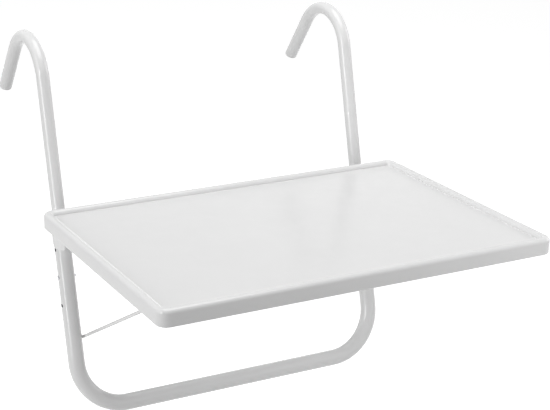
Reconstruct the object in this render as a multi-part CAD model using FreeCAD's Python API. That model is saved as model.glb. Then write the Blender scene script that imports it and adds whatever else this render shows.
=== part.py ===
import FreeCAD, Part
import math
import os

V = FreeCAD.Vector

# Everything is drawn around the tabletop: X runs along the rail, Y towards the rail, Z up.
# The middle of the tabletop's lower edge is the drawing's zero, and the last step moves it all
# so that zero is the point of the rail seat midway between the two hooks.

# Tabletop, a moulded tray
top_length = 600.0
top_depth = 400.0
top_height = 24.0
plan_corner = 15.0
edge_round = 6.2
skirt_round = 2.4
skin = 3.0
rim_width = 12.5
rim_inner_round = 6.2
deck_drop = 7.0
deck_corner = 4.0
under_rim_round = 3.1
rib_thick = 2.2
rib_drop = 6.0
cross_rib_count = 4
cross_rib_from_end = 75.0
long_rib_from_edge = 140.0
long_rib_from_end = 50.0

# Lower frame, one bent tube
leg_from_end = 42.0
leg_diameter = 25.0
tube_wall = 1.5
leg_lean = 15.0
leg_behind_top = 36.4
leg_top = 3.0
frame_drop = 298.5
leg_bend = 75.0

# Holes in the legs, measured down the leg
first_hole = 51.0
hole_pitch = 42.0
hole_count = 3
leg_hole = 5.6
bail_hole_down = 186.5

# Hook tubes
hook_diameter = 20.0
hook_straight = 200.5
tube_below_button = 22.5
hook_bend = 65.0
hook_turn = 130.0
hook_tip = 85.0

# Support bail, a bent wire rod
bail_rod = 5.0
bail_bar_behind_front = 82.0
bail_bar_up = 2.0
bail_corner = 12.0
bail_end_bend = 4.0
bail_end_gap = 0.5
bail_pin_past_wall = 4.0

# Hinge plates and their pivot
plate_thick = 2.0
plate_bite = 0.4
plate_rear = 1.5
plate_low = 48.7
plate_front_low = 44.5
plate_low_rear_round = 10.0
plate_low_front_round = 4.0
plate_high_rear = 12.0
pivot_forward = 50.0
pivot_down = 8.5
pivot_eye = 9.0
weld_reach = 6.5
weld_thick = 2.2

# Fasteners
pivot_bolt = 6.0
hex_across = 10.0
bolt_head_high = 4.0
nut_high = 6.0
bolt_past_nut = 1.5
washer_outer = 12.0
washer_thick = 1.6
clip_screw = 3.5
screw_head = 6.4
screw_head_high = 2.2
screw_bite = 4.8
screw_tip_room = 0.4
recess_long = 4.0
recess_wide = 0.8
recess_deep = 1.3
nut_washer_face = 1.6
bolt_edge = 0.7
bolt_end_edge = 0.6
washer_loose = 0.2

# Moulded hinge cheeks under the tabletop
cheek_thick = 4.0
cheek_round = 8.0
notch_clear = 1.0
notch_above_pivot = 6.0

# Bail clips and rests under the tabletop
clip_inside_arm = 71.0
clip_width = 20.0
clip_length = 44.0
clip_base = 2.5
clip_corner = 3.0
clip_neck = 8.4
clip_sink = 0.2
clip_ring_wall = 2.4
clip_mouth = 4.0
clip_screw_apart = 28.0
boss_diameter = 10.0
rest_gap_from_clip = 4.0
rest_thick = 2.5
rest_half = 20.0
rest_rear_down = 3.0
rest_slope_run = 3.0
rest_slope_rise = 2.0
rest_stop_thick = 4.0

# Plastic bushes, plugs and glides
bush_length = 25.0
bush_flange = 2.0
plug_stem = 14.0
plug_rim = 1.0
plug_dome = 2.2
glide_length = 9.0
glide_stem = 6.0
glide_wall = 2.5
glide_edge = 1.0

# Height clips: a leaf spring with a button at each end, inside the hook tube
button = 5.0
button_proud = 2.5
button_collar = 6.6
button_collar_thick = 0.8
leaf_wide = 7.0
leaf_thick = 0.6
leaf_above_button = 34.0
leaf_below_button = 5.0

# Clearances
seat_gap = 0.3
running_gap = 0.05
slide_gap = 0.08
push_gap = 0.03

# Sizes that follow from the ones above
half_x = top_length / 2.0
half_y = top_depth / 2.0
deck_top = top_height - deck_drop
deck_under = deck_top - skin
leg_r = leg_diameter / 2.0
leg_bore_r = leg_r - tube_wall
leg_x = half_x - leg_from_end
leg_y = half_y + leg_behind_top
hook_r = hook_diameter / 2.0
hook_bore_r = hook_r - tube_wall
rod_r = bail_rod / 2.0
button_r = button / 2.0
lean = math.radians(leg_lean)
button_down = first_hole + hole_pitch
hook_reach_down = button_down + tube_below_button


def leg_point(x, forward, up):
    """A point given along the leaning leg, in the drawing's axes."""
    y = leg_y + up * math.sin(lean) - forward * math.cos(lean)
    z = up * math.cos(lean) + forward * math.sin(lean)
    return V(x, y, z)


def lean_back(shape):
    """Turns a shape drawn on an upright leg, with the leg's axis as Z, onto the leaning leg."""
    done = shape.copy()
    done.rotate(V(0, 0, 0), V(1, 0, 0), -leg_lean)
    done.translate(V(0, leg_y, 0))
    return done


def rod(points, bends, radius):
    """A round bar through the points, with each corner bent to its radius."""
    edges = []
    start = points[0]
    for i in range(1, len(points)):
        corner = points[i]
        way = corner.sub(start)
        way.normalize()
        end = corner
        if i < len(points) - 1:
            onward = points[i + 1].sub(corner)
            onward.normalize()
            turn = way.getAngle(onward)
            bend = bends[i - 1]
            back = bend * math.tan(turn / 2.0)
            end = corner.sub(way * back)
        edges.append(Part.makeLine(start, end))
        if i < len(points) - 1:
            normal = way.cross(onward)
            normal.normalize()
            centre = end.add(normal.cross(way) * bend)
            outward = corner.sub(centre)
            outward.normalize()
            start = corner.add(onward * back)
            edges.append(Part.Arc(end, centre.add(outward * bend), start).toShape())
    first = points[1].sub(points[0])
    disc = Part.Face(Part.Wire(Part.makeCircle(radius, points[0], first)))
    return Part.Wire(edges).makePipe(disc)


def stretched(points, extra):
    """The same points with both ends moved outwards."""
    first = points[0].sub(points[1])
    first.normalize()
    last = points[-1].sub(points[-2])
    last.normalize()
    return [points[0].add(first * extra)] + points[1:-1] + [points[-1].add(last * extra)]


def slab(grow, corner, low, high):
    """A plate with the tabletop's outline drawn in by grow."""
    a = half_x - grow
    b = half_y - grow
    box = Part.makeBox(2 * a, 2 * b, high - low, V(-a, -b, low))
    upright = [e for e in box.Edges if e.BoundBox.ZLength > (high - low) / 2.0]
    return box.makeFillet(corner, upright)


def level_edges(shape, height):
    """The edges that lie at one height."""
    return [e for e in shape.Edges if abs(e.BoundBox.ZMin - height) < 1e-4 and e.BoundBox.ZLength < 1e-4]


def edges_inside(edges, inset):
    """Those of the edges that lie no nearer the tabletop's outline than inset."""
    a = half_x - inset + 0.1
    b = half_y - inset + 0.1
    kept = []
    for e in edges:
        box = e.BoundBox
        if box.XMin > -a and box.XMax < a and box.YMin > -b and box.YMax < b:
            kept.append(e)
    return kept


def along_x(points, x0, x1):
    """A prism along X over an outline of (y, z) points."""
    ring = [V(x0, p[0], p[1]) for p in points]
    ring.append(ring[0])
    return Part.Face(Part.makePolygon(ring)).extrude(V(x1 - x0, 0, 0))


def disc_x(y, z, radius, x0, x1):
    """A round bar along X."""
    return Part.makeCylinder(radius, x1 - x0, V(x0, y, z), V(1, 0, 0))


def box_between(x0, x1, y0, y1, z0, z1):
    return Part.makeBox(x1 - x0, y1 - y0, z1 - z0, V(x0, y0, z0))


def hexagon_x(y, z, across, x0, x1):
    r = across / math.sqrt(3.0)
    ring = []
    for k in range(6):
        a = math.radians(60.0 * k + 30.0)
        ring.append((y + r * math.cos(a), z + r * math.sin(a)))
    return along_x(ring, x0, x1)


def one_solid(shape):
    """The single solid in a shape, checked."""
    solids = shape.Solids
    if len(solids) != 1:
        raise RuntimeError("a piece has %d solids" % len(solids))
    if not solids[0].isValid():
        raise RuntimeError("a piece is not valid")
    return solids[0]


# Hinge pivot and bail pivot
pivot = leg_point(0, pivot_forward, -pivot_down)
bail_pivot = leg_point(0, 0, -bail_hole_down)
plate_x0 = leg_x + leg_r - plate_bite
plate_x1 = plate_x0 + plate_thick
bail_arm_x = leg_x - leg_r - bail_end_gap - bail_end_bend
bail_bar_y = -half_y + bail_bar_behind_front
bail_bar_z = bail_bar_up
clip_centre = bail_arm_x - clip_inside_arm

# Rail seat: the highest point inside the hooks
hook_centre = leg_point(0, -hook_bend, hook_straight)
seat_y = hook_centre.y
seat_z = hook_centre.z + hook_bend - hook_r


def make_lower_frame():
    path = [
        V(-leg_x, 0, leg_top),
        V(-leg_x, 0, -frame_drop),
        V(leg_x, 0, -frame_drop),
        V(leg_x, 0, leg_top),
    ]
    bends = [leg_bend, leg_bend]
    tube = rod(path, bends, leg_r).cut(rod(stretched(path, 1.0), bends, leg_bore_r))
    for side in (-1, 1):
        for k in range(hole_count):
            z = -(first_hole + k * hole_pitch)
            x = side * leg_x
            tube = tube.cut(disc_x(0, z, leg_hole / 2.0, x - leg_diameter, x + leg_diameter))
        inner = sorted([side * leg_x, side * (leg_x - leg_diameter)])
        tube = tube.cut(disc_x(0, -bail_hole_down, rod_r + running_gap, inner[0], inner[1]))
    return lean_back(one_solid(tube))


def make_hinge_plate(side):
    """A flat plate on the leg's outer side, its weld seam and its eye for the pivot."""
    front = -pivot_forward
    eye = disc_x(front, -pivot_down, pivot_eye, plate_x0, plate_x1)
    # The front and upper edges run from the eye's rim to the plate's corners.
    low = (-plate_front_low, -plate_low)
    high = (plate_rear, -plate_high_rear)
    front_touch = tangent_point((front, -pivot_down), low, pivot_eye, -1)
    upper_touch = tangent_point((front, -pivot_down), high, pivot_eye, 1)
    outline = [
        (plate_rear, -plate_low),
        high,
        upper_touch,
        (front, -pivot_down),
        front_touch,
        low,
    ]
    plate = along_x(outline, plate_x0, plate_x1)
    plate = round_corner(plate, plate_rear, -plate_low, plate_low_rear_round)
    plate = round_corner(plate, -plate_front_low, -plate_low, plate_low_front_round)
    plate = plate.fuse(eye).removeSplitter()
    seam = box_between(
        plate_x0 - weld_thick,
        plate_x0 + plate_thick / 2.0,
        -weld_reach,
        plate_rear,
        -(plate_low - plate_low_rear_round),
        -plate_high_rear,
    )
    plate = plate.fuse(seam).removeSplitter()
    leg = Part.makeCylinder(leg_r, frame_drop, V(leg_x, 0, -frame_drop / 2.0 - plate_low), V(0, 0, 1))
    plate = plate.cut(leg)
    bolt_way = disc_x(front, -pivot_down, pivot_bolt / 2.0 + running_gap, plate_x0 - 1, plate_x1 + 1)
    plate = one_solid(plate.cut(bolt_way))
    if side < 0:
        plate = plate.mirror(V(0, 0, 0), V(1, 0, 0))
    return lean_back(one_solid(plate))


def tangent_point(centre, outside, radius, turn):
    """Where the line from an outside point touches a circle."""
    dy = outside[0] - centre[0]
    dz = outside[1] - centre[1]
    far = math.hypot(dy, dz)
    a = math.atan2(dz, dy) + turn * math.acos(radius / far)
    return (centre[0] + radius * math.cos(a), centre[1] + radius * math.sin(a))


def round_corner(shape, y, z, radius):
    edges = []
    for e in shape.Edges:
        b = e.BoundBox
        off = max(abs(b.YMin - y), abs(b.YMax - y), abs(b.ZMin - z), abs(b.ZMax - z))
        if off < 1e-4:
            edges.append(e)
    return shape.makeFillet(radius, edges)


def make_guide_bush(side):
    """A plastic sleeve in the leg's mouth, with a flange on the leg's end."""
    x = side * leg_x
    sleeve = Part.makeCylinder(leg_bore_r - push_gap, bush_length, V(x, 0, leg_top - bush_length))
    flange = Part.makeCylinder(leg_r, bush_flange, V(x, 0, leg_top))
    flange = flange.makeFillet(bush_flange * 0.6, level_edges(flange, leg_top + bush_flange))
    bush = sleeve.fuse(flange).removeSplitter()
    way = Part.makeCylinder(hook_r + slide_gap, bush_length + 10, V(x, 0, leg_top - bush_length - 5))
    return lean_back(one_solid(bush.cut(way)))


def hook_path(x):
    turn = math.radians(hook_turn)
    back = hook_bend * math.tan(turn / 2.0)
    corner = V(x, 0, hook_straight + back)
    run = back + hook_tip
    end = V(x, run * math.sin(turn), corner.z + run * math.cos(turn))
    return [V(x, 0, -hook_reach_down), corner, end]


def make_hook_tube(side):
    x = side * leg_x
    path = hook_path(x)
    tube = rod(path, [hook_bend], hook_r).cut(rod(stretched(path, 1.0), [hook_bend], hook_bore_r))
    tube = tube.cut(disc_x(0, -button_down, button_r + slide_gap, x - hook_diameter, x + hook_diameter))
    return lean_back(one_solid(tube))


def make_hook_plug(side):
    """The domed plug that closes the hook's free end."""
    x = side * leg_x
    path = hook_path(x)
    end = path[2]
    way = path[2].sub(path[1])
    way.normalize()
    stem = Part.makeCylinder(hook_bore_r - push_gap, plug_stem, end.sub(way * plug_stem), way)
    rim = Part.makeCylinder(hook_r, plug_rim, end, way)
    # The dome is a cap of a ball that meets the rim's edge.
    ball_r = (hook_r * hook_r + plug_dome * plug_dome) / (2.0 * plug_dome)
    ball_at = end.add(way * (plug_rim + plug_dome - ball_r))
    ball = Part.makeSphere(ball_r, ball_at)
    cap = Part.makeCylinder(hook_r, plug_dome + 1, end.add(way * plug_rim), way).common(ball)
    return lean_back(one_solid(stem.fuse([rim, cap]).removeSplitter()))


def make_tube_glide(side):
    """The ring on the hook tube's lower end that centres it in the leg."""
    x = side * leg_x
    low = -hook_reach_down
    stem = Part.makeCylinder(hook_bore_r - push_gap, glide_stem, V(x, 0, low))
    ring = Part.makeCylinder(leg_bore_r - slide_gap, glide_length, V(x, 0, low - glide_length))
    ring = ring.makeChamfer(glide_edge, level_edges(ring, low - glide_length))
    glide = stem.fuse(ring).removeSplitter()
    whole = glide_length + glide_stem
    way = Part.makeCylinder(hook_bore_r - glide_wall, whole + 2, V(x, 0, low - glide_length - 1))
    return lean_back(one_solid(glide.cut(way)))


def leaf_face():
    """How far the leaf spring's outer face stands from the tube's axis."""
    return math.sqrt(hook_bore_r * hook_bore_r - leaf_wide * leaf_wide / 4.0) - seat_gap


def make_height_clip(side):
    """The hairpin leaf spring that pushes the two buttons out."""
    x = side * leg_x
    out = leaf_face()
    low = -(button_down + leaf_below_button)
    bow = -(button_down - leaf_above_button)
    arms = box_between(-out, out, -leaf_wide / 2.0, leaf_wide / 2.0, low, bow)
    arc = Part.makeCylinder(out, leaf_wide, V(0, -leaf_wide / 2.0, bow), V(0, 1, 0))
    outer = arms.fuse(arc).removeSplitter()
    inner_out = out - leaf_thick
    arms_in = box_between(-inner_out, inner_out, -leaf_wide, leaf_wide, low - 1, bow)
    arc_in = Part.makeCylinder(inner_out, 2 * leaf_wide, V(0, -leaf_wide, bow), V(0, 1, 0))
    leaf = one_solid(outer.cut(arms_in.fuse(arc_in)))
    # The bow keeps clear of the round bore.
    bore = Part.makeCylinder(hook_bore_r - seat_gap, 2 * frame_drop, V(0, 0, -frame_drop))
    leaf = leaf.common(bore)
    leaf.translate(V(x, 0, 0))
    return lean_back(one_solid(leaf))


def make_button(side, out):
    """One snap button, on the leaf's face and out through both tubes."""
    x = side * leg_x
    start = leaf_face()
    tip = leg_r + button_proud
    z = -button_down
    collar = Part.makeCylinder(button_collar / 2.0, button_collar_thick, V(start, 0, z), V(1, 0, 0))
    pin = Part.makeCylinder(button_r, tip - start, V(start, 0, z), V(1, 0, 0))
    end_edge = [e for e in pin.Edges if e.BoundBox.XMin > tip - 1e-4]
    pin = pin.makeFillet(button_r * 0.6, end_edge)
    bore = Part.makeCylinder(hook_bore_r - 0.1, 4 * button, V(0, 0, z - 2 * button))
    piece = pin.fuse(collar.common(bore)).removeSplitter()
    if out * side < 0:
        piece = piece.mirror(V(0, 0, 0), V(1, 0, 0))
    piece = one_solid(piece)
    piece.translate(V(x, 0, 0))
    return lean_back(piece)


def make_support_bail():
    pin_end = leg_x - leg_bore_r + bail_pin_past_wall
    q = bail_pivot
    points = [
        V(-pin_end, q.y, q.z),
        V(-bail_arm_x, q.y, q.z),
        V(-bail_arm_x, bail_bar_y, bail_bar_z),
        V(bail_arm_x, bail_bar_y, bail_bar_z),
        V(bail_arm_x, q.y, q.z),
        V(pin_end, q.y, q.z),
    ]
    bends = [bail_end_bend, bail_corner, bail_corner, bail_end_bend]
    return one_solid(rod(points, bends, rod_r))


def clip_base_low():
    """Height of the lower face of the bail clips' base plates."""
    return bail_bar_z + rod_r + seat_gap + clip_ring_wall - clip_sink


def make_tabletop():
    top = slab(0.0, plan_corner, 0.0, top_height)
    top = top.makeFillet(edge_round, level_edges(top, top_height))
    top = top.makeFillet(skirt_round, level_edges(top, 0.0))
    # The deck lies inside a rim whose two upper edges are rounded into a bead.
    top = top.cut(slab(rim_width, deck_corner, deck_top, top_height + 5.0))
    top = top.makeFillet(rim_inner_round, edges_inside(level_edges(top, top_height), rim_width))
    # The underside is hollow up to the deck, and a step higher under the rim.
    hollow = slab(skin, plan_corner - skin, -1.0, deck_under)
    rim_high = top_height - skin
    under_rim = slab(skin, plan_corner - skin, deck_under - 1.0, rim_high)
    under_rim = under_rim.cut(slab(rim_width - skin, deck_corner + skin, deck_under - 2.0, top_height))
    under_rim = under_rim.makeFillet(under_rim_round, level_edges(under_rim, rim_high))
    top = top.cut(hollow).cut(under_rim)
    top = one_solid(top)
    added = []
    # Stiffening ribs under the deck
    rib_low = deck_under - rib_drop
    half_rib = rib_thick / 2.0
    long_end = half_x - long_rib_from_end
    for side in (-1, 1):
        y = side * (half_y - long_rib_from_edge)
        added.append(box_between(-long_end, long_end, y - half_rib, y + half_rib, rib_low, deck_top - 1.0))
    first_x = -half_x + cross_rib_from_end
    rib_pitch = -2.0 * first_x / (cross_rib_count - 1)
    front = -half_y + skin / 2.0
    rear = half_y - skin / 2.0
    for k in range(cross_rib_count):
        x = first_x + k * rib_pitch
        added.append(box_between(x - half_rib, x + half_rib, front, rear, rib_low, deck_top - 1.0))
    # Rests for the bail's cross bar on both sides of each clip
    bar_top = bail_bar_z + rod_r + seat_gap
    rear_face = bail_bar_y + rod_r + seat_gap
    for centre in (-clip_centre, clip_centre):
        for hand in (-1, 1):
            x = centre + hand * (clip_width / 2.0 + rest_gap_from_clip + rest_thick / 2.0)
            outline = [
                (bail_bar_y - rest_half, deck_top - 1.0),
                (bail_bar_y - rest_half, bar_top + rest_slope_rise),
                (bail_bar_y - rest_half + rest_slope_run, bar_top),
                (rear_face, bar_top),
                (rear_face, bar_top - rest_rear_down - rod_r),
                (rear_face + rest_stop_thick, bar_top - rest_rear_down - rod_r),
                (bail_bar_y + rest_half, bar_top + rest_slope_rise),
                (bail_bar_y + rest_half, deck_top - 1.0),
            ]
            added.append(along_x(outline, x - rest_thick / 2.0, x + rest_thick / 2.0))
        for ahead in (-1, 1):
            y = bail_bar_y + ahead * clip_screw_apart / 2.0
            low = clip_base_low() + clip_base
            added.append(Part.makeCylinder(boss_diameter / 2.0, deck_top - 1.0 - low, V(centre, y, low)))
    # Hinge cheeks on both sides of each plate
    for side in (-1, 1):
        spans = [
            (plate_x0 - seat_gap - cheek_thick, plate_x0 - seat_gap),
            (plate_x1 + seat_gap, plate_x1 + seat_gap + cheek_thick),
        ]
        for a, b in spans:
            x0, x1 = sorted([side * a, side * b])
            added.append(disc_x(pivot.y, pivot.z, cheek_round, x0, x1))
            added.append(
                box_between(x0, x1, pivot.y - cheek_round, half_y - skin / 2.0, pivot.z, deck_top - 1.0)
            )
    top = top.fuse(added).removeSplitter()
    # Openings for the hinge plates, the pivot bolts and the clip screws
    for side in (-1, 1):
        x0, x1 = sorted([side * (plate_x0 - notch_clear), side * (plate_x1 + notch_clear)])
        notch_high = pivot.z + notch_above_pivot
        top = top.cut(box_between(x0, x1, half_y - skin - 1.0, half_y + 1.0, -1.0, notch_high))
        x0, x1 = sorted([side * (plate_x0 - 20.0), side * (plate_x1 + 20.0)])
        top = top.cut(disc_x(pivot.y, pivot.z, pivot_bolt / 2.0 + push_gap, x0, x1))
        for ahead in (-1, 1):
            y = bail_bar_y + ahead * clip_screw_apart / 2.0
            low = clip_base_low() + clip_base
            deep = screw_bite + screw_tip_room
            top = top.cut(Part.makeCylinder(clip_screw / 2.0 + push_gap, deep, V(side * clip_centre, y, low)))
    return one_solid(top)


def make_bail_clip(side):
    """A springy clip that snaps over the bail's cross bar."""
    x = side * clip_centre
    x0 = x - clip_width / 2.0
    x1 = x + clip_width / 2.0
    low = clip_base_low()
    half_long = clip_length / 2.0
    base = box_between(x0, x1, bail_bar_y - half_long, bail_bar_y + half_long, low, low + clip_base)
    corner_edges = [e for e in base.Edges if e.BoundBox.ZLength > clip_base / 2.0]
    base = base.makeFillet(clip_corner, corner_edges)
    bore_r = rod_r + seat_gap
    ring = disc_x(bail_bar_y, bail_bar_z, bore_r + clip_ring_wall, x0, x1)
    half_neck = clip_neck / 2.0
    neck_top = low + clip_base / 2.0
    neck = box_between(x0, x1, bail_bar_y - half_neck, bail_bar_y + half_neck, bail_bar_z + 1.0, neck_top)
    clip = base.fuse([ring, neck]).removeSplitter()
    clip = clip.cut(disc_x(bail_bar_y, bail_bar_z, bore_r, x0 - 1, x1 + 1))
    half = clip_mouth / 2.0
    deep = bail_bar_z - bore_r - clip_ring_wall - 1.0
    clip = clip.cut(box_between(x0 - 1, x1 + 1, bail_bar_y - half, bail_bar_y + half, deep, bail_bar_z))
    for ahead in (-1, 1):
        y = bail_bar_y + ahead * clip_screw_apart / 2.0
        clip = clip.cut(Part.makeCylinder(clip_screw / 2.0 + push_gap, clip_base + 2, V(x, y, low - 1)))
    return one_solid(clip)


def make_clip_screws(side):
    """The two screws that hold one bail clip."""
    x = side * clip_centre
    low = clip_base_low()
    screws = []
    for ahead in (-1, 1):
        y = bail_bar_y + ahead * clip_screw_apart / 2.0
        head = Part.makeCylinder(screw_head / 2.0, screw_head_high, V(x, y, low - screw_head_high))
        head = head.makeFillet(screw_head_high * 0.6, level_edges(head, low - screw_head_high))
        shank = Part.makeCylinder(clip_screw / 2.0, clip_base + screw_bite, V(x, y, low))
        screw = head.fuse(shank).removeSplitter()
        # A cross recess in the head
        bottom = low - screw_head_high
        for a, b in ((recess_long / 2.0, recess_wide / 2.0), (recess_wide / 2.0, recess_long / 2.0)):
            screw = screw.cut(box_between(x - a, x + a, y - b, y + b, bottom - 1, bottom + recess_deep))
        screws.append(one_solid(screw))
    return Part.makeCompound(screws)


def bolt_stack():
    """X positions of the pivot's hardware, from the inner end outwards."""
    inner = plate_x0 - seat_gap - cheek_thick
    outer = plate_x1 + seat_gap + cheek_thick
    return inner, outer


def make_pivot_bolt(side):
    inner, outer = bolt_stack()
    head_x = outer + washer_thick
    end_x = inner - washer_thick - nut_high - bolt_past_nut
    head = hexagon_x(pivot.y, pivot.z, hex_across, head_x, head_x + bolt_head_high)
    dome = disc_x(pivot.y, pivot.z, hex_across * 0.56, head_x - 1, head_x + bolt_head_high)
    face_x = head_x + bolt_head_high
    dome = dome.makeChamfer(bolt_edge, [e for e in dome.Edges if e.BoundBox.XMin > face_x - 1e-4])
    shank = disc_x(pivot.y, pivot.z, pivot_bolt / 2.0, end_x, head_x)
    shank = shank.makeChamfer(bolt_end_edge, [e for e in shank.Edges if e.BoundBox.XMax < end_x + 1e-4])
    bolt = one_solid(head.common(dome).fuse(shank).removeSplitter())
    if side < 0:
        bolt = bolt.mirror(V(0, 0, 0), V(1, 0, 0))
    return one_solid(bolt)


def make_pivot_nut(side):
    inner, outer = bolt_stack()
    x1 = inner - washer_thick
    x0 = x1 - nut_high
    nut = hexagon_x(pivot.y, pivot.z, hex_across, x0 + nut_washer_face, x1)
    collar = disc_x(pivot.y, pivot.z, hex_across / 2.0 - 0.3, x0, x1)
    collar = collar.makeFillet(0.8, [e for e in collar.Edges if e.BoundBox.XMax < x0 + 1e-4])
    nut = nut.fuse(collar).removeSplitter()
    nut = nut.cut(disc_x(pivot.y, pivot.z, pivot_bolt / 2.0 + push_gap, x0 - 1, x1 + 1))
    if side < 0:
        nut = nut.mirror(V(0, 0, 0), V(1, 0, 0))
    return one_solid(nut)


def make_pivot_washers(side):
    inner, outer = bolt_stack()
    rings = []
    for x0 in (inner - washer_thick, outer):
        ring = disc_x(pivot.y, pivot.z, washer_outer / 2.0, x0, x0 + washer_thick)
        hole = disc_x(pivot.y, pivot.z, pivot_bolt / 2.0 + washer_loose, x0 - 1, x0 + washer_thick + 1)
        ring = ring.cut(hole)
        if side < 0:
            ring = ring.mirror(V(0, 0, 0), V(1, 0, 0))
        rings.append(one_solid(ring))
    return Part.makeCompound(rings)


pieces = {"lower_frame": make_lower_frame(), "tabletop": make_tabletop(), "support_bail": make_support_bail()}
for name, side in (("left", -1), ("right", 1)):
    pieces["hinge_plate_" + name] = make_hinge_plate(side)
    pieces["guide_bush_" + name] = make_guide_bush(side)
    pieces["hook_tube_" + name] = make_hook_tube(side)
    pieces["hook_plug_" + name] = make_hook_plug(side)
    pieces["tube_glide_" + name] = make_tube_glide(side)
    pieces["height_clip_" + name] = make_height_clip(side)
    pieces["height_button_%s_outer" % name] = make_button(side, 1)
    pieces["height_button_%s_inner" % name] = make_button(side, -1)
    pieces["bail_clip_" + name] = make_bail_clip(side)
    pieces["clip_screws_" + name] = make_clip_screws(side)
    pieces["pivot_bolt_" + name] = make_pivot_bolt(side)
    pieces["pivot_nut_" + name] = make_pivot_nut(side)
    pieces["pivot_washers_" + name] = make_pivot_washers(side)

os.makedirs("parts", exist_ok=True)
to_seat = V(0, -seat_y, -seat_z)
for name in sorted(pieces):
    shape = pieces[name]
    shape.translate(to_seat)
    shape.exportStep(os.path.join("parts", name + ".step"))
    b = shape.BoundBox
    print("%s: x %.1f..%.1f y %.1f..%.1f z %.1f..%.1f volume %.0f" % (
        name, b.XMin, b.XMax, b.YMin, b.YMax, b.ZMin, b.ZMax, shape.Volume))
print("seat in the drawing: y %.3f z %.3f" % (seat_y, seat_z))
print("table pivot: y %.3f z %.3f" % (pivot.y - seat_y, pivot.z - seat_z))
print("bail pivot: y %.3f z %.3f" % (bail_pivot.y - seat_y, bail_pivot.z - seat_z))
print("bail bar: y %.3f z %.3f" % (bail_bar_y - seat_y, bail_bar_z - seat_z))
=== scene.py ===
import bpy
import bmesh
import math
from mathutils import Matrix, Vector


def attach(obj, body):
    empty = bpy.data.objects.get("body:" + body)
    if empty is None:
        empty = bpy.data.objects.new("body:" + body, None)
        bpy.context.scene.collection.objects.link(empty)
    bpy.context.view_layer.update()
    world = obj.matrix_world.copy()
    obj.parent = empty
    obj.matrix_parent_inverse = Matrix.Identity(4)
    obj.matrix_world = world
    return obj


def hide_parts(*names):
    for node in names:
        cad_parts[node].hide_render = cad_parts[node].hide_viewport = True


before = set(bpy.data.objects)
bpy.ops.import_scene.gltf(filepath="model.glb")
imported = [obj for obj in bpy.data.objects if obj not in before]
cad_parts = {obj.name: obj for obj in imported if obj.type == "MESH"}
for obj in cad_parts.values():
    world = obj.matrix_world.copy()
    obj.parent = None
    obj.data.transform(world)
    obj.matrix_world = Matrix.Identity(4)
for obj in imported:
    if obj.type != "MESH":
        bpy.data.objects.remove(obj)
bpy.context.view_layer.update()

# Sizes are in millimetres and have the CAD part's values. Everything is drawn around the
# tabletop: X runs along the rail, Y towards it, Z up, from the middle of its lower edge.

# Tabletop, a moulded tray
HALF_X = 300.0
HALF_Y = 200.0
TOP_HIGH = 24.0
PLAN_CORNER = 15.0
EDGE_ROUND = 6.2
SKIRT_ROUND = 2.4
LIP_ROUND = 0.4
SKIN = 3.0
RIM = 12.5
DECK_DROP = 7.0
DECK = TOP_HIGH - DECK_DROP
DECK_UNDER = DECK - SKIN
DECK_CORNER = 4.0
UNDER_RIM_ROUND = 3.1
BEAD_FOOT_RISE = 0.2
BEAD_FOOT_TURN = 0.08
BEAD_FOOT_REACH = 0.3

# Lower frame, one bent tube, and its holes, measured down the leg
LEG_FROM_END = 42.0
LEG_BEHIND_TOP = 36.4
LEG_X = HALF_X - LEG_FROM_END
LEG_Y = HALF_Y + LEG_BEHIND_TOP
LEAN = math.radians(15.0)
LEG_R = 12.5
LEG_BORE = 11.0
LEG_TOP = 3.0
FRAME_DROP = 298.5
LEG_BEND = 75.0
FIRST_HOLE = 51.0
HOLE_PITCH = 42.0
HOLE_COUNT = 3
HOLES = [FIRST_HOLE + HOLE_PITCH * k for k in range(HOLE_COUNT)]
LEG_HOLE_R = 2.8
BAIL_DOWN = 186.5
BAIL_HOLE_R = 2.55

# Hook tubes, with the button holes at the second leg hole
HOOK_R = 10.0
HOOK_BORE = 8.5
BUTTON_DOWN = HOLES[1]
TUBE_BELOW_BUTTON = 22.5
HOOK_STRAIGHT = 200.5
HOOK_BEND = 65.0
HOOK_TURN = math.radians(130.0)
HOOK_TIP = 85.0
HOOK_HOLE_R = 2.58

# Plugs in the hooks' tips
PLUG_STEM = 14.0
PLUG_STEM_R = 8.45
PLUG_LEAD_LONG = 0.5
PLUG_LEAD_DEEP = 0.45
PLUG_NECK = 0.15
PLUG_RIM = 1.0
PLUG_RIM_R = 9.85
PLUG_BEVEL = 0.2
PLUG_DOME = 2.2
PLUG_DOME_R = 9.6

# Support bail, a bent wire rod
ROD = 2.5
ROD_GAP = 0.3
BAR_BEHIND_FRONT = 82.0
BAR_Y = -HALF_Y + BAR_BEHIND_FRONT
BAR_Z = 2.0
BAIL_CORNER = 12.0
BAIL_END_BEND = 4.0
BAIL_END_GAP = 0.5
ARM_X = LEG_X - LEG_R - BAIL_END_GAP - BAIL_END_BEND
PIN_PAST_WALL = 4.0

# Hinge plates, the pivot and the tabletop's notches for the plates
PLATE_BITE = 0.4
PLATE_THICK = 2.0
PLATE_X0 = LEG_X + LEG_R - PLATE_BITE
PLATE_X1 = PLATE_X0 + PLATE_THICK
PLATE_GAP = 0.3
PIVOT_FORWARD = 50.0
PIVOT_DOWN = 8.5
NOTCH_CLEAR = 1.0
NOTCH_LOW = -2.3
NOTCH_HIGH = 10.7
NOTCH_REACH = 5.0

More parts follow.
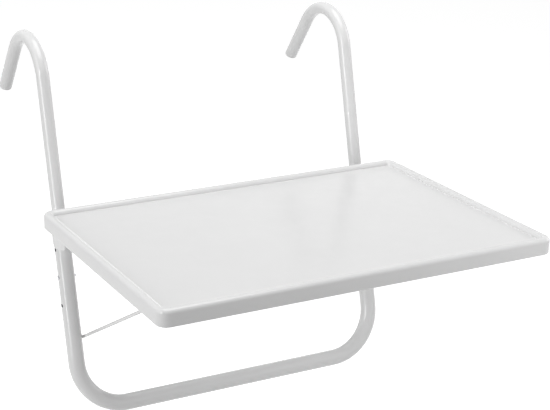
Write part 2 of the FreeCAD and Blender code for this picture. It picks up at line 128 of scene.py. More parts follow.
# Ribs, bail rests, screw bosses and hinge cheeks under the deck
SUNK_UNDER_DECK = 1.0
SUNK_TO = DECK - SUNK_UNDER_DECK
RIB_HALF = 1.1
RIB_DROP = 6.0
LONG_RIB_FROM_EDGE = 140.0
LONG_RIB_FROM_END = 50.0
CROSS_RIB_COUNT = 4
CROSS_RIB_FROM_END = 75.0
CLIP_INSIDE_ARM = 71.0
CLIP_X = ARM_X - CLIP_INSIDE_ARM
CLIP_HALF_WIDE = 10.0
REST_GAP = 4.0
REST_HALF = 20.0
REST_HALF_THICK = 1.25
REST_SLOPE_RUN = 3.0
REST_SLOPE_RISE = 2.0
REST_REAR_DOWN = 3.0
REST_STOP_THICK = 4.0
BOSS_R = 5.0
BOSS_LOW = 9.5
BOSS_LONG = 6.0
BOSS_BEVEL = 0.4
BOSS_FROM_BAR = 14.0
CHEEK_THICK = 4.0
CHEEK_ROUND = 8.0

# How the meshes are divided and softened
RING_STEP = 12.0
BEND_STEP = 3.0
BAIL_RING_STEP = 30.0
BAIL_BEND_STEP = 0.8
CLOSE_STEP = 0.7
RING_APART = 0.2
LEG_HOLE_REACH = 4.2
HOOK_HOLE_REACH = 3.5
LEG_DRILL_FROM = 5.0
HOOK_DRILL_FROM = 4.0
DRILL_PAST = 3.0
LIP_DEEP = 0.8
LIP_WIDE = 0.35
LIP_OVER = 0.1
LIP_MIDDLE_DEEP = 0.25
LIP_MIDDLE_WIDE = 0.12
SHARP = 35.0
SHARP_PLUG = 40.0
SHARP_FINE = 30.0

SIDES = (("left", -1), ("right", 1))


def leg(x, rearward, up):
    """A point given along the leaning leg, in the drawing's axes."""
    y = LEG_Y + up * math.sin(LEAN) + rearward * math.cos(LEAN)
    z = up * math.cos(LEAN) - rearward * math.sin(LEAN)
    return Vector((x, y, z))


# The frame's zero is the rail seat, the highest point inside the hooks.
HOOK_CENTRE = leg(0, HOOK_BEND, HOOK_STRAIGHT)
SEAT = Vector((0.0, HOOK_CENTRE.y, HOOK_CENTRE.z + HOOK_BEND - HOOK_R))


def at(p):
    """A point of the drawing, in the frame's metres."""
    return (Vector(p) - SEAT) / 1000.0


# Pieces

def soften(obj, angle):
    """Smooth shading, with sharp edges where faces turn by more than the angle."""
    obj.data.shade_smooth()
    obj.data.set_sharp_from_angle(angle=math.radians(angle))


def dress(obj, material):
    """Gives a carried-over CAD node its material."""
    obj.data.materials.clear()
    obj.data.materials.append(material)
    soften(obj, SHARP_FINE)


def finish_mesh(name, bm, material, body, replaced=(), angle=SHARP, bore=None):
    """Turns a bmesh in drawing millimetres into a piece that rides on a body.

    Faces with material index 1 get the bore's material, bare steel darkened with painted shade.
    """
    bmesh.ops.remove_doubles(bm, verts=bm.verts, dist=1e-5)
    bmesh.ops.recalc_face_normals(bm, faces=bm.faces)
    for v in bm.verts:
        v.co = at(v.co)
    mesh = bpy.data.meshes.new(name)
    bm.to_mesh(mesh)
    bm.free()
    obj = bpy.data.objects.new(name, mesh)
    bpy.context.scene.collection.objects.link(obj)
    obj.data.materials.append(material)
    if bore:
        obj.data.materials.append(bore)
    soften(obj, angle)
    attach(obj, body)
    if replaced:
        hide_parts(*replaced)
    return obj


# Materials

class Look:
    """A material, with short ways to give it procedural detail."""

    def __init__(self, name):
        self.material = bpy.data.materials.new(name)
        self.material.use_nodes = True
        self.nodes = self.material.node_tree.nodes
        self.links = self.material.node_tree.links
        self.shader = self.nodes["Principled BSDF"]
        self.coords = self.nodes.new("ShaderNodeTexCoord").outputs["Object"]
        self.normal = None

    def noise(self, scale, detail, rough, coords=None):
        """Noise over the object's own coordinates, or over the ones given."""
        node = self.nodes.new("ShaderNodeTexNoise")
        node.inputs["Scale"].default_value = scale
        node.inputs["Detail"].default_value = detail
        node.inputs["Roughness"].default_value = rough
        self.links.new(self.coords if coords is None else coords, node.inputs["Vector"])
        return node.outputs["Fac"]

    def colour(self, cloud, low, high):
        """A base colour that drifts between two colours."""
        mix = self.nodes.new("ShaderNodeMix")
        mix.data_type = "RGBA"
        mix.inputs["A"].default_value = (*low, 1)
        mix.inputs["B"].default_value = (*high, 1)
        self.links.new(cloud, mix.inputs["Factor"])
        self.links.new(mix.outputs["Result"], self.shader.inputs["Base Color"])

    def roughness(self, cloud, low, high):
        """Roughness between two values, over the middle of the noise's range."""
        span = self.nodes.new("ShaderNodeMapRange")
        span.inputs["From Min"].default_value = 0.3
        span.inputs["From Max"].default_value = 0.7
        span.inputs["To Min"].default_value = low
        span.inputs["To Max"].default_value = high
        self.links.new(cloud, span.inputs["Value"])
        self.links.new(span.outputs["Result"], self.shader.inputs["Roughness"])

    def relief(self, height, strength, distance):
        """A bump of so many metres, on top of those added before."""
        node = self.nodes.new("ShaderNodeBump")
        node.inputs["Strength"].default_value = strength
        node.inputs["Distance"].default_value = distance
        self.links.new(height, node.inputs["Height"])
        if self.normal is not None:
            self.links.new(self.normal, node.inputs["Normal"])
        self.normal = node.outputs["Normal"]
        self.links.new(self.normal, self.shader.inputs["Normal"])


def moulded_plastic(name, low, high, rough, grain, specular):
    """Satin moulded plastic: soft cloudiness, fine spark grain and faint flow marks."""
    look = Look(name)
    look.colour(look.noise(scale=9.0, detail=4.0, rough=0.55), low, high)
    look.roughness(look.noise(scale=45.0, detail=3.0, rough=0.6), rough - 0.05, rough + 0.06)
    look.relief(look.noise(scale=1900.0, detail=2.0, rough=0.6), strength=grain, distance=0.00006)
    look.relief(look.noise(scale=14.0, detail=2.0, rough=0.4), strength=0.04, distance=0.0008)
    look.shader.inputs["Specular IOR Level"].default_value = specular
    return look.material


def powder_coat(name, low, high, rough, peel):
    """Powder coat: an even white with fine orange peel and a slightly varying sheen."""
    look = Look(name)
    look.colour(look.noise(scale=22.0, detail=3.0, rough=0.5), low, high)
    look.roughness(look.noise(scale=120.0, detail=2.0, rough=0.5), rough - 0.04, rough + 0.05)
    look.relief(look.noise(scale=520.0, detail=2.0, rough=0.5), strength=peel, distance=0.00012)
    look.relief(look.noise(scale=2200.0, detail=1.0, rough=0.5), strength=peel * 0.6, distance=0.00004)
    look.shader.inputs["Specular IOR Level"].default_value = 0.5
    look.shader.inputs["Coat Weight"].default_value = 0.15
    look.shader.inputs["Coat Roughness"].default_value = 0.25
    return look.material


def plated_steel(name, low, high, rough, brush):
    """Bare or plated steel: fine brushed lines and cloudy colour. brush stretches the lines."""
    look = Look(name)
    look.colour(look.noise(scale=160.0, detail=4.0, rough=0.6), low, high)
    look.shader.inputs["Metallic"].default_value = 1.0
    look.roughness(look.noise(scale=420.0, detail=3.0, rough=0.6), rough - 0.08, rough + 0.1)
    stretch = look.nodes.new("ShaderNodeMapping")
    stretch.inputs["Scale"].default_value = (brush, 1.0, 1.0)
    look.links.new(look.coords, stretch.inputs["Vector"])
    lines = look.noise(scale=900.0, detail=2.0, rough=0.5, coords=stretch.outputs["Vector"])
    look.relief(lines, strength=0.25, distance=0.00004)
    return look.material


PLASTIC = moulded_plastic(
    "white_moulded_plastic", (0.80, 0.80, 0.80), (0.84, 0.84, 0.84), rough=0.20, grain=0.08, specular=0.5)
COAT = powder_coat("white_powder_coat", (0.81, 0.81, 0.81), (0.85, 0.85, 0.85), rough=0.18, peel=0.06)
BUSH = moulded_plastic(
    "white_bush_plastic", (0.76, 0.76, 0.76), (0.80, 0.80, 0.80), rough=0.5, grain=0.6, specular=0.4)
CLIP = moulded_plastic(
    "spring_clip_plastic", (0.72, 0.72, 0.70), (0.78, 0.78, 0.76), rough=0.45, grain=0.6, specular=0.45)
ZINC = plated_steel("zinc_plated_steel", (0.60, 0.61, 0.63), (0.72, 0.73, 0.75), rough=0.36, brush=0.1)
# The bore: bare steel, made much darker than steel is as painted shade for the tube's inside and its
# holes.
SHADED_BORE = plated_steel("bare_and_shaded_tube_bore", (0.10, 0.10, 0.11), (0.17, 0.17, 0.18), rough=0.5, brush=0.15)
SPRING = plated_steel("spring_steel", (0.42, 0.42, 0.44), (0.52, 0.52, 0.54), rough=0.3, brush=0.08)


# Mesh builders

def run_marks(length, spacing, gone, dense):
    """Distances along a straight run that get a ring. The run starts at gone along the path."""
    count = max(1, int(length / spacing))
    marks = [length * k / count for k in range(count + 1)]
    for middle, reach in dense:
        first = middle - reach - gone
        close = [first + CLOSE_STEP * k for k in range(round(2 * reach / CLOSE_STEP) + 1)]
        marks += [d for d in close if 0.0 < d < length]
    kept = []
    for d in sorted(marks):
        if not kept or d - kept[-1] > RING_APART:
            kept.append(d)
    return kept


def sweep_path(points, bends, bend_step=BEND_STEP, spacing=RING_STEP, dense=()):
    """Centres and directions of the rings along straight runs joined by bends.

    dense lists (distance along the path, reach) stretches that get close rings.
    """
    rings = []
    gone = 0.0
    start = Vector(points[0])
    corners = [Vector(p) for p in points[1:]]
    for i, corner in enumerate(corners):
        way = (corner - start).normalized()
        bent = i < len(bends)
        end = corner
        if bent:
            onward = (corners[i + 1] - corner).normalized()
            turn = way.angle(onward)
            back = bends[i] * math.tan(turn / 2)
            end = corner - way * back
        length = (end - start).length
        rings += [(start + way * d, way) for d in run_marks(length, spacing, gone, dense)]
        gone += length
        if bent:
            normal = way.cross(onward).normalized()
            centre = end + normal.cross(way) * bends[i]
            count = max(6, int(bends[i] * turn / bend_step))
            for k in range(1, count):
                turned = Matrix.Rotation(turn * k / count, 3, normal)
                rings.append((centre + turned @ (end - centre), turned @ way))
            gone += bends[i] * turn
            start = corner + onward * back
    return rings


def ring_points(centre, way, up, radius, count):
    """Points of a circle across the way, counted from the side that is square to up."""
    side = way.cross(up).normalized()
    top = side.cross(way).normalized()
    angles = [2 * math.pi * k / count for k in range(count)]
    return [centre + (side * math.cos(a) + top * math.sin(a)) * radius for a in angles]


def tube(bm, rings, up, outer, inner=None, count=64, bevel=0.35):
    """A tube or, with no inner radius, a solid bar along the rings, with bevelled ends.

    The inner wall gets material index 1. up never runs along the tube.
    """
    (first, first_way), (last, last_way) = rings[0], rings[-1]
    rings = [
        rings[0],
        (first + first_way * bevel, first_way),
        *rings[1:-1],
        (last - last_way * bevel, last_way),
        rings[-1],
    ]

    def wall(radius, end_radius):
        radii = [end_radius] + [radius] * (len(rings) - 2) + [end_radius]
        return [[bm.verts.new(p) for p in ring_points(centre, way, up, r, count)]
                for (centre, way), r in zip(rings, radii)]

    turns = [(k, (k + 1) % count) for k in range(count)]
    outside = wall(outer, outer - bevel)
    for a, b in zip(outside, outside[1:]):
        for k, j in turns:
            bm.faces.new((a[k], a[j], b[j], b[k]))
    if inner is None:
        bm.faces.new(outside[0])
        bm.faces.new(list(reversed(outside[-1])))
        return
    inside = wall(inner, inner + bevel)
    for a, b in zip(inside, inside[1:]):
        for k, j in turns:
            bm.faces.new((a[k], b[k], b[j], a[j])).material_index = 1
    for a, b in ((outside[0], inside[0]), (outside[-1], inside[-1])):
        for k, j in turns:
            bm.faces.new((a[k], b[k], b[j], a[j]))


def lathe(bm, origin, axis, profile, count=48, marked=()):
    """Spins a profile of (distance along the axis, radius) points that starts and ends on the axis.

    The faces of the marked segments get material index 1.
    """
    axis = Vector(axis).normalized()
    up = Vector((0, 0, 1)) if abs(axis.z) < 0.9 else Vector((0, 1, 0))
    loops = []
    for distance, radius in profile:
        centre = Vector(origin) + axis * distance
        points = ring_points(centre, axis, up, radius, count) if radius > 1e-6 else [centre]
        loops.append([bm.verts.new(p) for p in points])
    for i, (a, b) in enumerate(zip(loops, loops[1:])):
        for k in range(count):
            j = (k + 1) % count
            if len(a) == 1:
                face = bm.faces.new((a[0], b[j], b[k]))
            elif len(b) == 1:
                face = bm.faces.new((a[k], a[j], b[0]))
            else:
                face = bm.faces.new((a[k], a[j], b[j], b[k]))
            face.material_index = int(i in marked)


def add_box(bm, x0, x1, y0, y1, z0, z1):
    middle = Matrix.Translation(((x0 + x1) / 2, (y0 + y1) / 2, (z0 + z1) / 2))
    size = Matrix.Diagonal((x1 - x0, y1 - y0, z1 - z0, 1.0))
    bmesh.ops.create_cube(bm, size=1.0, matrix=middle @ size)


def add_prism(bm, outline, x0, x1):
    """A prism along X over an outline of (y, z) points."""
    low = [bm.verts.new((x0, y, z)) for y, z in outline]
    high = [bm.verts.new((x1, y, z)) for y, z in outline]
    bm.faces.new(low)
    bm.faces.new(list(reversed(high)))
    n = len(outline)
    for k in range(n):
        j = (k + 1) % n
        bm.faces.new((low[k], high[k], high[j], low[j]))


def cut_with(obj, bm, angle):
    """Cuts a bmesh in drawing millimetres out of a piece, and softens the piece again."""
    bmesh.ops.recalc_face_normals(bm, faces=bm.faces)
    for v in bm.verts:
        v.co = at(v.co)
    mesh = bpy.data.meshes.new("cutter")
    for material in obj.data.materials:
        mesh.materials.append(material)
    bm.to_mesh(mesh)
    bm.free()
    cutter = bpy.data.objects.new("cutter", mesh)
    bpy.context.scene.collection.objects.link(cutter)
    cut = obj.modifiers.new("cut", "BOOLEAN")
    cut.operation = "DIFFERENCE"
    cut.solver = "EXACT"
    cut.object = cutter
    depsgraph = bpy.context.evaluated_depsgraph_get()
    done = bpy.data.meshes.new_from_object(obj.evaluated_get(depsgraph))
    obj.modifiers.clear()
    old = obj.data
    name = old.name
    obj.data = done
    bpy.data.meshes.remove(old)
    obj.data.name = name
    bpy.data.objects.remove(cutter)
    bpy.data.meshes.remove(mesh)
    soften(obj, angle)


def drill(bm, centre, axis, radius, wall_in, wall_out):
    """A drill from wall_in to past wall_out along the axis, with a soft lip at the outer wall.

    The hole's own wall is marked, so it shows the bore's bare metal, darkened with painted shade.
    """
    far = wall_out + DRILL_PAST
    profile = [
        (wall_in, 0.0),
        (wall_in, radius),
        (wall_out - LIP_DEEP, radius),
        (wall_out - LIP_MIDDLE_DEEP, radius + LIP_MIDDLE_WIDE),
        (wall_out + LIP_OVER, radius + LIP_WIDE),
        (far, radius + LIP_WIDE),
        (far, 0.0),
    ]
    lathe(bm, centre, axis, profile, count=32, marked=(0, 1, 2))


# Lower frame

def make_lower_frame():
    """The bent tube, drawn from the left leg's mouth round to the right one's."""
    route = [
        leg(-LEG_X, 0, LEG_TOP),
        leg(-LEG_X, 0, -FRAME_DROP),
        leg(LEG_X, 0, -FRAME_DROP),
        leg(LEG_X, 0, LEG_TOP),
    ]
    straight = LEG_TOP + FRAME_DROP - LEG_BEND
    whole = 2 * straight + LEG_BEND * math.pi + 2 * (LEG_X - LEG_BEND)
    holes = [LEG_TOP + down for down in (*HOLES, BAIL_DOWN)]
    dense = [(d, LEG_HOLE_REACH) for d in holes] + [(whole - d, LEG_HOLE_REACH) for d in holes]
    normal = Vector((0, math.cos(LEAN), -math.sin(LEAN)))
    bm = bmesh.new()
    rings = sweep_path(route, [LEG_BEND, LEG_BEND], dense=dense)
    tube(bm, rings, normal, LEG_R, LEG_BORE, count=96)
    obj = finish_mesh("lower_frame_tube", bm, COAT, "frame", ["lower_frame"], bore=SHADED_BORE)
    cutter = bmesh.new()
    for side in (-1, 1):
        for down in HOLES:
            for out in (-1, 1):
                place = leg(side * LEG_X, 0, -down)
                drill(cutter, place, (out, 0, 0), LEG_HOLE_R, LEG_DRILL_FROM, LEG_R)
        place = leg(side * LEG_X, 0, -BAIL_DOWN)
        drill(cutter, place, (-side, 0, 0), BAIL_HOLE_R, LEG_DRILL_FROM, LEG_R)
    cut_with(obj, cutter, SHARP)


# Hooks

def hook_route(x):
    """The hook tube's lower end, its corner above the crown and its tip."""
    back = HOOK_BEND * math.tan(HOOK_TURN / 2)
    corner = HOOK_STRAIGHT + back
    far = back + HOOK_TIP
    return [
        leg(x, 0, -BUTTON_DOWN - TUBE_BELOW_BUTTON),
        leg(x, 0, corner),
        leg(x, far * math.sin(HOOK_TURN), corner + far * math.cos(HOOK_TURN)),
    ]


def make_hook(name, side):
    x = side * LEG_X
    rings = sweep_path(hook_route(x), [HOOK_BEND], dense=[(TUBE_BELOW_BUTTON, HOOK_HOLE_REACH)])
    bm = bmesh.new()
    tube(bm, rings, Vector((1, 0, 0)), HOOK_R, HOOK_BORE, count=80, bevel=0.3)
    obj = finish_mesh("hook_tube_%s_skin" % name, bm, COAT, "hook_" + name,
                      ["hook_tube_" + name], bore=SHADED_BORE)
    cutter = bmesh.new()
    for out in (-1, 1):
        drill(cutter, leg(x, 0, -BUTTON_DOWN), (out, 0, 0), HOOK_HOLE_R, HOOK_DRILL_FROM, HOOK_R)
    cut_with(obj, cutter, SHARP)


def make_plug(name, side):
    """The plug in a hook's tip: a stem in the bore, a rim on the tube's end and a low dome."""
    route = hook_route(side * LEG_X)
    profile = [
        (-PLUG_STEM, 0.0),
        (-PLUG_STEM, PLUG_STEM_R - PLUG_LEAD_DEEP),
        (-PLUG_STEM + PLUG_LEAD_LONG, PLUG_STEM_R),
        (-PLUG_BEVEL, PLUG_STEM_R),
        (0.0, PLUG_STEM_R + PLUG_NECK),
        (0.0, PLUG_DOME_R),
        (PLUG_BEVEL, PLUG_RIM_R),
        (PLUG_RIM - PLUG_BEVEL, PLUG_RIM_R),
    ]
    steps = 10
    for k in range(steps, -1, -1):
        share = k / steps
        profile.append((PLUG_RIM + PLUG_DOME * (1 - share ** 2), PLUG_DOME_R * share))
    bm = bmesh.new()
    lathe(bm, route[2], route[2] - route[1], profile)
    finish_mesh("hook_plug_%s_cap" % name, bm, BUSH, "hook_" + name,
                ["hook_plug_" + name], SHARP_PLUG)


# Support bail

def make_bail():
    """The wire rod, drawn from the left leg's hole under the tabletop to the right one's."""
    pin = LEG_X - LEG_BORE + PIN_PAST_WALL
    hole = leg(0, 0, -BAIL_DOWN)
    route = [
        (-pin, hole.y, hole.z),
        (-ARM_X, hole.y, hole.z),
        (-ARM_X, BAR_Y, BAR_Z),
        (ARM_X, BAR_Y, BAR_Z),
        (ARM_X, hole.y, hole.z),
        (pin, hole.y, hole.z),
    ]
    bends = [BAIL_END_BEND, BAIL_CORNER, BAIL_CORNER, BAIL_END_BEND]
    normal = Vector((0, BAR_Z - hole.z, hole.y - BAR_Y)).normalized()
    bm = bmesh.new()
    rings = sweep_path(route, bends, bend_step=BAIL_BEND_STEP, spacing=BAIL_RING_STEP)
    tube(bm, rings, normal, ROD, count=32, bevel=0.5)
    finish_mesh("support_bail_rod", bm, COAT, "bail", ["support_bail"])


# Tabletop

def plan_loop(inset, corner, count=10):
    """The tabletop's outline drawn in by inset, with rounded corners, anticlockwise from above."""
    a = HALF_X - inset - corner
    b = HALF_Y - inset - corner
    points = []
    for i, (cx, cy) in enumerate(((a, b), (-a, b), (-a, -b), (a, -b))):
        for k in range(count + 1):
            angle = math.radians(90.0 * (i + k / count))
            points.append((cx + corner * math.cos(angle), cy + corner * math.sin(angle)))
    return points


def arc(centre, radius, start, end, count):
    """Points of a section's arc between two angles in degrees."""
    angles = [math.radians(start + (end - start) * k / count) for k in range(count + 1)]
    return [(centre[0] + radius * math.cos(a), centre[1] + radius * math.sin(a)) for a in angles]


def bead_side(count=14):
    """The rim's inner side, a quarter of an ellipse from its foot on the deck to its top."""
    foot = DECK + BEAD_FOOT_RISE
    points = []
    for k in range(count + 1):
        angle = math.radians(90.0 - 90.0 * k / count)
        inset = RIM - EDGE_ROUND + EDGE_ROUND * math.sin(angle)
        points.append((inset, foot + (TOP_HIGH - foot) * math.cos(angle)))
    return points


def with_corner(points, corner):
    """Adds each point's plan corner, from the corner's radius at the tabletop's outline."""
    return [(inset, z, corner - inset) for inset, z in points]


def tray_section():
    """The section from the deck's middle out over the rim, down the skirt and back under.

    Each row is the inset from the outline, the height and the plan corner's radius there.
    """
    middle = 60.0
    ring = 24.0
    deck_edge = RIM + 2.0
    middle_corner = 3.0
    skirt_middle = 8.0
    deck_side = DECK_CORNER + RIM
    under_round = UNDER_RIM_ROUND
    under_high = TOP_HIGH - SKIN - under_round
    section = [(middle, DECK, middle_corner), (ring, DECK, DECK_CORNER), (deck_edge, DECK, DECK_CORNER)]
    foot = [(RIM + BEAD_FOOT_REACH, DECK), (RIM + BEAD_FOOT_TURN, DECK + BEAD_FOOT_TURN)]
    section += with_corner(foot, deck_side)
    section += with_corner(bead_side(), deck_side)
    section += with_corner(arc((EDGE_ROUND, TOP_HIGH - EDGE_ROUND), EDGE_ROUND, 90, 180, 14), PLAN_CORNER)
    section += with_corner([(0.0, skirt_middle)], PLAN_CORNER)
    section += with_corner(arc((SKIRT_ROUND, SKIRT_ROUND), SKIRT_ROUND, 180, 270, 6), PLAN_CORNER)
    section += with_corner(arc((SKIN - LIP_ROUND, LIP_ROUND), LIP_ROUND, 270, 360, 2), PLAN_CORNER)
    section += with_corner([(SKIN, skirt_middle)], PLAN_CORNER)
    section += with_corner(arc((SKIN + under_round, under_high), under_round, 180, 90, 6), PLAN_CORNER)
    section += with_corner(arc((RIM - SKIN - under_round, under_high), under_round, 90, 0, 6), deck_side)
    section += with_corner([(RIM - SKIN, DECK_UNDER)], deck_side)
    section += [(ring, DECK_UNDER, DECK_CORNER), (middle, DECK_UNDER, middle_corner)]
    return section


def make_tray():
    """The tray's shell, with a notch in the rear skirt for each hinge plate."""
    bm = bmesh.new()
    loops = [[bm.verts.new((x, y, z)) for x, y in plan_loop(inset, corner)]
             for inset, z, corner in tray_section()]
    for a, b in zip(loops, loops[1:]):
        n = len(a)
        for k in range(n):
            j = (k + 1) % n
            bm.faces.new((a[k], a[j], b[j], b[k]))
    bm.faces.new(loops[0])
    bm.faces.new(list(reversed(loops[-1])))
    obj = finish_mesh("tabletop_tray", bm, PLASTIC, "tabletop", ["tabletop"], SHARP_FINE)
    cutter = bmesh.new()
    for side in (-1, 1):
        x0, x1 = sorted((side * (PLATE_X0 - NOTCH_CLEAR), side * (PLATE_X1 + NOTCH_CLEAR)))
        add_box(cutter, x0, x1, HALF_Y - NOTCH_REACH, HALF_Y + NOTCH_REACH, NOTCH_LOW, NOTCH_HIGH)
    cut_with(obj, cutter, SHARP_FINE)


def add_ribs(bm):
    """Two long ribs along the rail and four across, sunk into the deck."""
    low = DECK_UNDER - RIB_DROP
    long_end = HALF_X - LONG_RIB_FROM_END
    for side in (-1, 1):
        y = side * (HALF_Y - LONG_RIB_FROM_EDGE)
        add_box(bm, -long_end, long_end, y - RIB_HALF, y + RIB_HALF, low, SUNK_TO)
    skirt = HALF_Y - SKIN / 2
    first = HALF_X - CROSS_RIB_FROM_END
    for k in range(CROSS_RIB_COUNT):
        x = -first + 2 * first * k / (CROSS_RIB_COUNT - 1)
        add_box(bm, x - RIB_HALF, x + RIB_HALF, -skirt, skirt, low, SUNK_TO)


def add_bail_rests(bm):
    """The rests for the bail's bar on both sides of each clip, and the clips' screw bosses."""
    front = BAR_Y - REST_HALF
    rear = BAR_Y + REST_HALF
    bar_top = BAR_Z + ROD + ROD_GAP
    bar_rear = BAR_Y + ROD + ROD_GAP
    stop_low = bar_top - REST_REAR_DOWN - ROD
    outline = [
        (front, SUNK_TO),
        (front, bar_top + REST_SLOPE_RISE),
        (front + REST_SLOPE_RUN, bar_top),
        (bar_rear, bar_top),
        (bar_rear, stop_low),
        (bar_rear + REST_STOP_THICK, stop_low),
        (rear, bar_top + REST_SLOPE_RISE),
        (rear, SUNK_TO),
    ]
    boss = [
        (0.0, 0.0),
        (0.0, BOSS_R - BOSS_BEVEL),
        (BOSS_BEVEL, BOSS_R),
        (BOSS_LONG, BOSS_R),
        (BOSS_LONG, 0.0),
    ]
    for clip_x in (-CLIP_X, CLIP_X):
        for hand in (-1, 1):
            x = clip_x + hand * (CLIP_HALF_WIDE + REST_GAP + REST_HALF_THICK)
            add_prism(bm, outline, x - REST_HALF_THICK, x + REST_HALF_THICK)
            place = (clip_x, BAR_Y + hand * BOSS_FROM_BAR, BOSS_LOW)
            lathe(bm, place, (0, 0, 1), boss, count=32)


def add_cheeks(bm):
    """The hinge cheeks on both sides of each plate, rounded below about the pivot."""
    pivot = leg(0, -PIVOT_FORWARD, -PIVOT_DOWN)
    skirt = HALF_Y - SKIN / 2
    outline = [(skirt, SUNK_TO), (skirt, pivot.z)]
    outline += arc((pivot.y, pivot.z), CHEEK_ROUND, 0, -180, 12)
    outline += [(pivot.y - CHEEK_ROUND, SUNK_TO)]
    inner = PLATE_X0 - PLATE_GAP
    outer = PLATE_X1 + PLATE_GAP
    for side in (-1, 1):
        for a, b in ((inner - CHEEK_THICK, inner), (outer, outer + CHEEK_THICK)):
            x0, x1 = sorted((side * a, side * b))
            add_prism(bm, outline, x0, x1)


def make_underside():
    bm = bmesh.new()
    add_ribs(bm)
    add_bail_rests(bm)
    add_cheeks(bm)
    finish_mesh("tabletop_underside", bm, PLASTIC, "tabletop")


make_lower_frame()
for name, side in SIDES:
    make_hook(name, side)
    make_plug(name, side)
make_bail()
make_tray()
make_underside()

# The other pieces are the CAD nodes themselves.
FINISHES = {
    "hinge_plate": COAT,
    "guide_bush": BUSH,
    "tube_glide": BUSH,
    "height_clip": SPRING,
    "height_button": ZINC,
    "bail_clip": CLIP,
    "clip_screws": ZINC,
    "pivot_bolt": ZINC,
    "pivot_nut": ZINC,
    "pivot_washers": ZINC,
}
for node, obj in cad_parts.items():
    for start, material in FINISHES.items():
        if node.startswith(start):
            dress(obj, material)


# Stage, in the frame's metres

FLOOR_Z = -1.0
FLOOR_REACH = 20.0


def seen_level(tree, unseen, seen):
    """One level for camera, glossy and transmission rays, and another for the light on the object."""
    nodes, links = tree.nodes, tree.links
    rays = nodes.new("ShaderNodeLightPath")
    level = nodes.new("ShaderNodeMapRange")
    level.inputs["To Min"].default_value = unseen
    level.inputs["To Max"].default_value = seen
    source = rays.outputs["Is Camera Ray"]
    for kind in ("Is Glossy Ray", "Is Transmission Ray"):
        either = nodes.new("ShaderNodeMath")
        either.operation = "MAXIMUM"
        links.new(source, either.inputs[0])
        links.new(rays.outputs[kind], either.inputs[1])
        source = either.outputs[0]
    links.new(source, level.inputs["Value"])
    return level.outputs["Result"]


def make_world():
    world = bpy.data.worlds.new("studio")
    bpy.context.scene.world = world
    world.use_nodes = True
    tree = world.node_tree
    back = tree.nodes["Background"]
    back.inputs["Color"].default_value = (1, 1, 1, 1)
    tree.links.new(seen_level(tree, unseen=0.10, seen=1.0), back.inputs["Strength"])


def floor_material():
    """A pale floor that takes shadows, and glows only for the rays that see it."""
    material = bpy.data.materials.new("pale_floor")
    material.use_nodes = True
    tree = material.node_tree
    nodes, links = tree.nodes, tree.links
    nodes.remove(nodes["Principled BSDF"])
    diffuse = nodes.new("ShaderNodeBsdfDiffuse")
    diffuse.inputs["Color"].default_value = (0.6, 0.6, 0.6, 1)
    glow = nodes.new("ShaderNodeEmission")
    links.new(seen_level(tree, unseen=0.0, seen=0.90), glow.inputs["Strength"])
    both = nodes.new("ShaderNodeAddShader")
    links.new(diffuse.outputs[0], both.inputs[0])
    links.new(glow.outputs[0], both.inputs[1])
    links.new(both.outputs[0], nodes["Material Output"].inputs["Surface"])
    material.cycles.emission_sampling = "NONE"
    return material


def make_floor():
    bm = bmesh.new()
    bmesh.ops.create_grid(bm, x_segments=8, y_segments=8, size=FLOOR_REACH)
    mesh = bpy.data.meshes.new("floor")
    bm.to_mesh(mesh)
    bm.free()
    floor = bpy.data.objects.new("floor", mesh)
    floor.location = (0, 0, FLOOR_Z)
    bpy.context.scene.collection.objects.link(floor)
    floor.data.materials.append(floor_material())


make_world()
make_floor()

# Light: each lamp's name, place, target, size and power in watts
CENTRE = (0.0, -0.3, -0.2)
LAMPS = (
    ("overhead", (0.0, -0.3, 2.3), CENTRE, (2.2, 2.2), 49.5),
    ("left_side", (-5.0, -0.3, 1.3), CENTRE, (2.8, 3.0), 52.0),
    ("left_strip", (-4.8, -1.9, 0.4), CENTRE, (0.36, 2.6), 76.0),
    ("front_low", (0.5, -1.35, -0.45), (0.28, -0.55, -0.22), (0.5, 0.5), 0.7),
    ("right_near", (1.3, -1.3, 0.0), (0.3, -0.5, -0.25), (0.7, 0.7), 3.4),
    ("right_close", (0.62, -1.05, -0.35), (0.3, -0.55, -0.25), (0.4, 0.4), 0.8),
    ("right_side", (2.5, -0.6, 0.8), CENTRE, (1.4, 1.4), 16.0),
    ("rear_right", (1.35, 1.9, -0.1), CENTRE, (0.9, 0.9), 2.1),
)
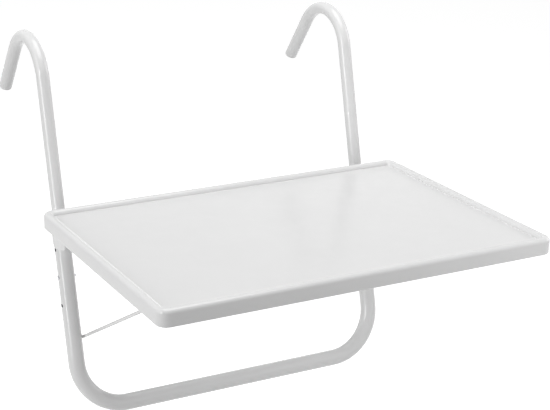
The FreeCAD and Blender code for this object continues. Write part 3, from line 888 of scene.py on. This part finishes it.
# The small fill lamps light the front without showing as glints on the tubes.
FILL_LAMPS = ("front_low", "right_near", "right_close")


def area_lamp(name, place, target, size, power):
    lamp = bpy.data.lights.new(name, "AREA")
    lamp.shape = "RECTANGLE"
    lamp.size, lamp.size_y = size
    lamp.energy = power
    obj = bpy.data.objects.new(name, lamp)
    obj.location = place
    obj.rotation_mode = "QUATERNION"
    obj.rotation_quaternion = (Vector(target) - Vector(place)).to_track_quat("-Z", "Y")
    obj.visible_glossy = name not in FILL_LAMPS
    bpy.context.scene.collection.objects.link(obj)


for row in LAMPS:
    area_lamp(*row)

# Camera, fitted to the photo: the picture's size, the focal length and the point where the
# camera's axis meets the picture in pixels, its place in the drawing, and its three angles
PICTURE = (550.0, 410.0)
FOCAL = 1429.627
AXIS_POINT = (177.36, 242.84)
CAMERA_PLACE = (-977.17, -1620.47, 713.30)
AZIMUTH = math.radians(-26.2062)
DOWNWARD = math.radians(20.8777)
ROLL = math.radians(-0.4436)
SENSOR = 36.0


def make_camera():
    data = bpy.data.cameras.new("camera")
    obj = bpy.data.objects.new("camera", data)
    bpy.context.scene.collection.objects.link(obj)
    bpy.context.scene.camera = obj
    data.sensor_fit = "HORIZONTAL"
    data.sensor_width = SENSOR
    data.lens = FOCAL / PICTURE[0] * SENSOR
    data.shift_x = (PICTURE[0] / 2 - AXIS_POINT[0]) / PICTURE[0]
    data.shift_y = (AXIS_POINT[1] - PICTURE[1] / 2) / PICTURE[0]
    data.clip_start = 0.05
    data.clip_end = 100.0
    level = Vector((-math.sin(AZIMUTH), math.cos(AZIMUTH), 0.0))
    forward = level * math.cos(DOWNWARD) - Vector((0, 0, math.sin(DOWNWARD)))
    right = forward.cross(Vector((0, 0, 1))).normalized()
    up = right.cross(forward)
    roll = Matrix.Rotation(ROLL, 3, forward)
    turned = Matrix((roll @ right, roll @ up, -forward)).transposed()
    obj.matrix_world = Matrix.Translation(at(CAMERA_PLACE)) @ turned.to_4x4()


make_camera()
bpy.context.scene.view_settings.view_transform = "Standard"
